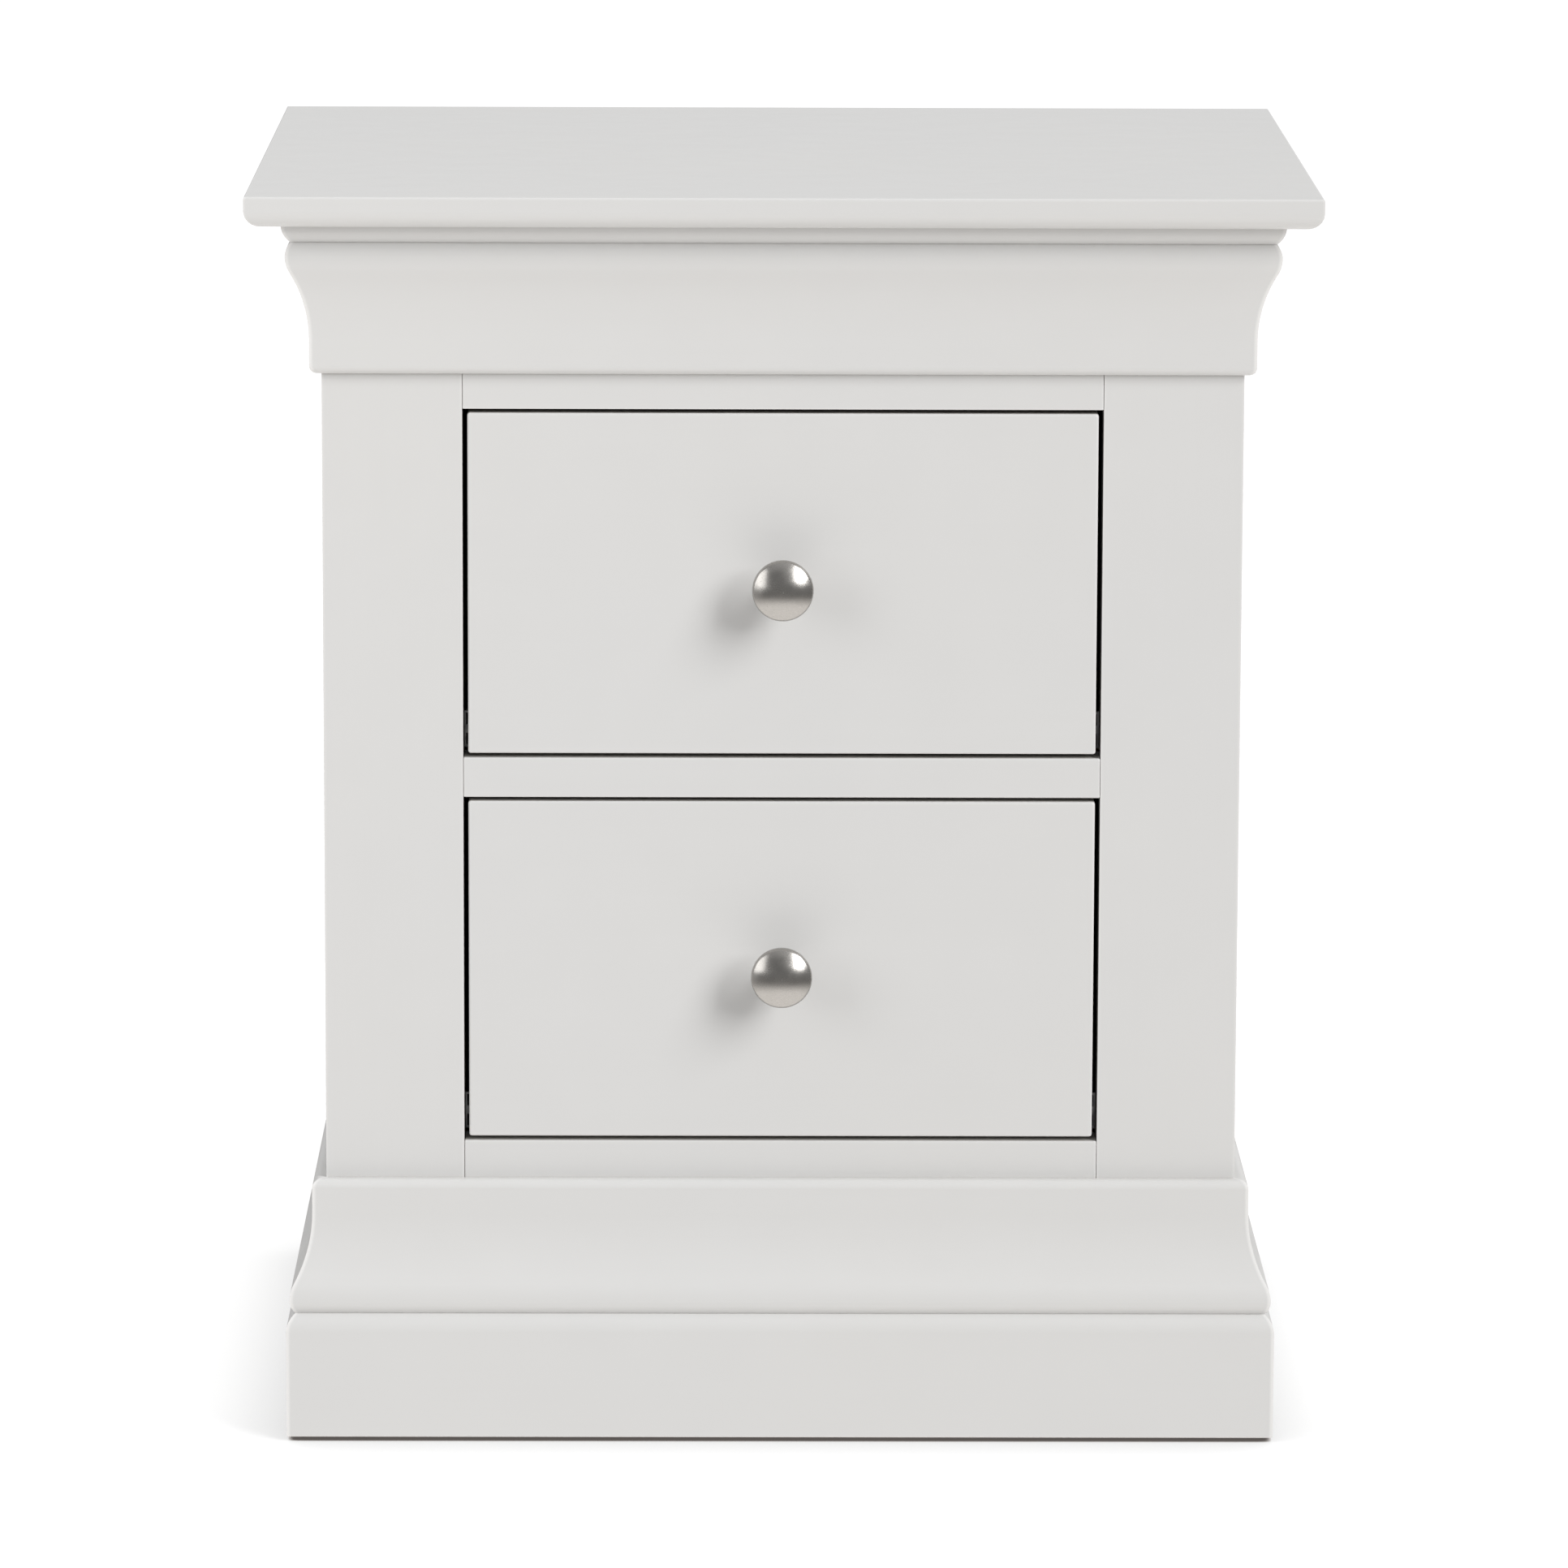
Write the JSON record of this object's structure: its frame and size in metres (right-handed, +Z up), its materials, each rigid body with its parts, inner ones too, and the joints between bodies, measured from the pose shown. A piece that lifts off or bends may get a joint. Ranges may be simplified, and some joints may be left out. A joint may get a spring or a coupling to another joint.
{
  "type": "nightstand with drawers",
  "caption": "Painted bedside cabinet with inset drawers on ball-bearing slides, a crown moulding under the top, a moulded plinth and turned metal knobs.",
  "frame": {"origin": "middle of the footprint, on the floor under the glides", "axes": "+Z up, -Y out of the drawer fronts, +X to the right as seen from the front"},
  "size_m": [0.48, 0.4, 0.572],
  "materials": {
    "paint": "satin warm white paint over wood",
    "plywood": "unfinished birch plywood",
    "pine": "unfinished pine",
    "box_wood": "clear lacquered beech",
    "satin_nickel": "satin nickel plate",
    "zinc_steel": "bright zinc plate",
    "ball_steel": "polished bearing steel",
    "screw_steel": "yellow-white zinc plate",
    "glide_steel": "nickel plated steel"
  },
  "bodies": {
    "carcass": {"back_panel": "plywood", "back_rail_bottom": "pine", "back_rail_top": "pine", "back_screws": "screw_steel", "base_moulding_front": "paint", "base_moulding_left": "paint", "base_moulding_right": "paint", "bottom_panel": "plywood", "corner_blocks": "pine", "crown_front": "paint", "crown_left": "paint", "crown_right": "paint", "glides": "glide_steel", "lower_left_cabinet_slide": "zinc_steel", "lower_right_cabinet_slide": "zinc_steel", "plinth_front": "paint", "plinth_left": "paint", "plinth_right": "paint", "rail_bottom": "paint", "rail_middle": "paint", "rail_top": "paint", "side_panel_left": "paint", "side_panel_right": "paint", "slide_packers": "pine", "slide_screws": "screw_steel", "stile_left": "paint", "stile_right": "paint", "top_bead_front": "paint", "top_bead_left": "paint", "top_bead_right": "paint", "top_panel": "paint", "top_screws": "screw_steel", "upper_left_cabinet_slide": "zinc_steel", "upper_right_cabinet_slide": "zinc_steel"},
    "upper_drawer": {"upper_drawer_back": "box_wood", "upper_drawer_bottom": "plywood", "upper_drawer_front": "paint", "upper_drawer_side_left": "box_wood", "upper_drawer_side_right": "box_wood", "upper_knob": "satin_nickel", "upper_knob_screw": "screw_steel", "upper_left_drawer_slide": "zinc_steel", "upper_right_drawer_slide": "zinc_steel", "upper_slide_screws": "screw_steel"},
    "lower_drawer": {"lower_drawer_back": "box_wood", "lower_drawer_bottom": "plywood", "lower_drawer_front": "paint", "lower_drawer_side_left": "box_wood", "lower_drawer_side_right": "box_wood", "lower_knob": "satin_nickel", "lower_knob_screw": "screw_steel", "lower_left_drawer_slide": "zinc_steel", "lower_right_drawer_slide": "zinc_steel", "lower_slide_screws": "screw_steel"},
    "upper_ball_cages": {"upper_left_ball_cage": "zinc_steel", "upper_right_ball_cage": "zinc_steel", "upper_slide_balls": "ball_steel"},
    "lower_ball_cages": {"lower_left_ball_cage": "zinc_steel", "lower_right_ball_cage": "zinc_steel", "lower_slide_balls": "ball_steel"}
  },
  "joints": [
    {"name": "upper_drawer_slide", "type": "slide", "parent": "carcass", "child": "upper_drawer", "axis": [0, -1, 0], "range_m": [0, 0.225]},
    {"name": "upper_cage_slide", "type": "slide", "parent": "carcass", "child": "upper_ball_cages", "axis": [0, -1, 0], "range_m": [0, 0.1125]},
    {"name": "lower_drawer_slide", "type": "slide", "parent": "carcass", "child": "lower_drawer", "axis": [0, -1, 0], "range_m": [0, 0.225]},
    {"name": "lower_cage_slide", "type": "slide", "parent": "carcass", "child": "lower_ball_cages", "axis": [0, -1, 0], "range_m": [0, 0.1125]}
  ],
  "couplings": [
    {"joint": "upper_cage_slide", "follows": "upper_drawer_slide", "ratio": 0.5},
    {"joint": "lower_cage_slide", "follows": "lower_drawer_slide", "ratio": 0.5}
  ]
}
